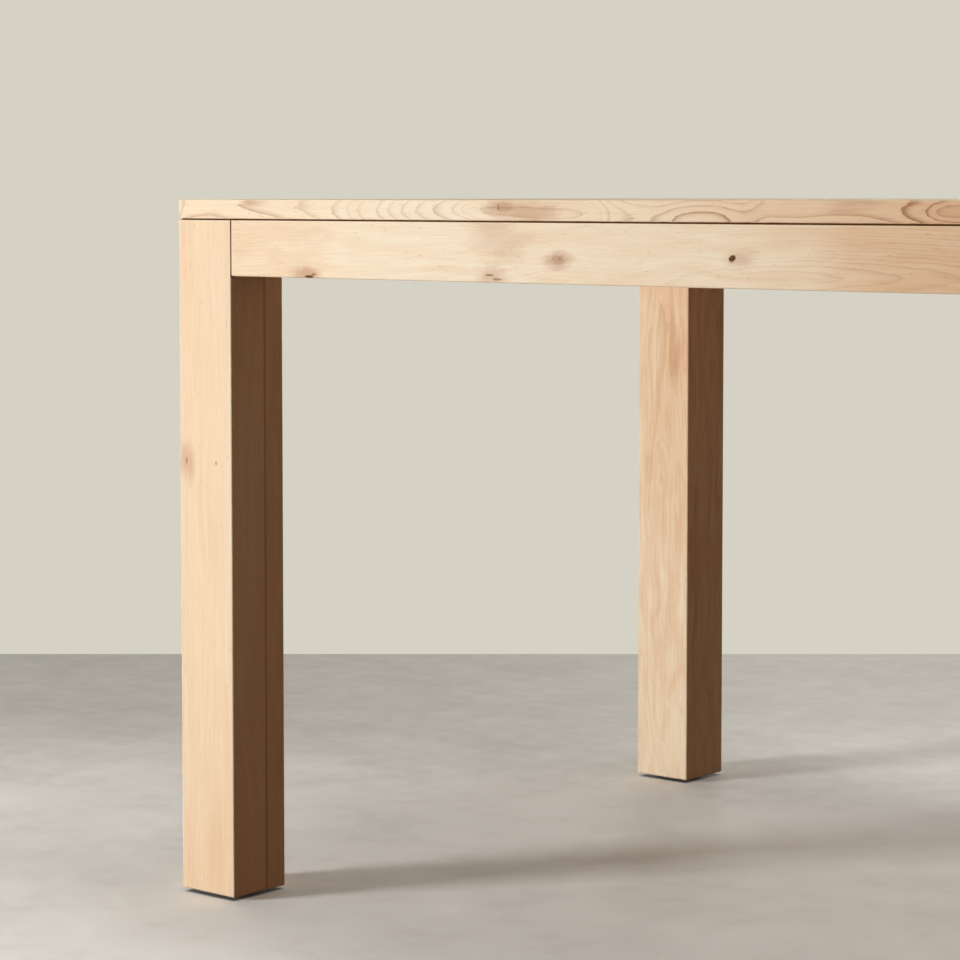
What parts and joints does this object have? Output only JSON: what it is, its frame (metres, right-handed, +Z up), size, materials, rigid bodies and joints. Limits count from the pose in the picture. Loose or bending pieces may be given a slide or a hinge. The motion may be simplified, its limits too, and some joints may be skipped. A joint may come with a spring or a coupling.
{
  "type": "parsons dining table",
  "caption": "Rectangular solid oak parsons dining table: square legs flush with slim aprons, thin top with a shadow line under it, legs bolted to corner brackets.",
  "frame": {"origin": "on the floor under the centre of the top", "axes": "+X along the length of the table, +Y from front to rear, +Z up"},
  "size_m": [1.829, 0.914, 0.762],
  "materials": {
    "oak_top": "matt clear lacquer on natural oak, grain along the table",
    "oak_frame": "matt clear lacquer on natural oak, grain along each board",
    "bracket_steel": "zinc-plated, satin",
    "fastener_steel": "zinc-plated, bright",
    "glide_nylon": "dark nylon, matt"
  },
  "bodies": {
    "root": {"apron_front": "oak_frame", "apron_left": "oak_frame", "apron_rear": "oak_frame", "apron_right": "oak_frame", "bolt_nuts": "fastener_steel", "bracket_screws": "fastener_steel", "clip_screws": "fastener_steel", "corner_bracket_front_left": "bracket_steel", "corner_bracket_front_right": "bracket_steel", "corner_bracket_rear_left": "bracket_steel", "corner_bracket_rear_right": "bracket_steel", "cross_rail_left": "oak_frame", "cross_rail_right": "oak_frame", "foot_glides": "glide_nylon", "glide_screws": "fastener_steel", "hanger_bolts": "fastener_steel", "leg_front_left_thick_board": "oak_frame", "leg_front_left_thin_board": "oak_frame", "leg_front_right_thick_board": "oak_frame", "leg_front_right_thin_board": "oak_frame", "leg_rear_left_thick_board": "oak_frame", "leg_rear_left_thin_board": "oak_frame", "leg_rear_right_thick_board": "oak_frame", "leg_rear_right_thin_board": "oak_frame", "rail_screws": "fastener_steel", "top_board_1": "oak_top", "top_board_2": "oak_top", "top_board_3": "oak_top", "top_board_4": "oak_top", "top_board_5": "oak_top", "top_board_6": "oak_top", "top_board_7": "oak_top", "top_clips": "fastener_steel"}
  },
  "joints": []
}
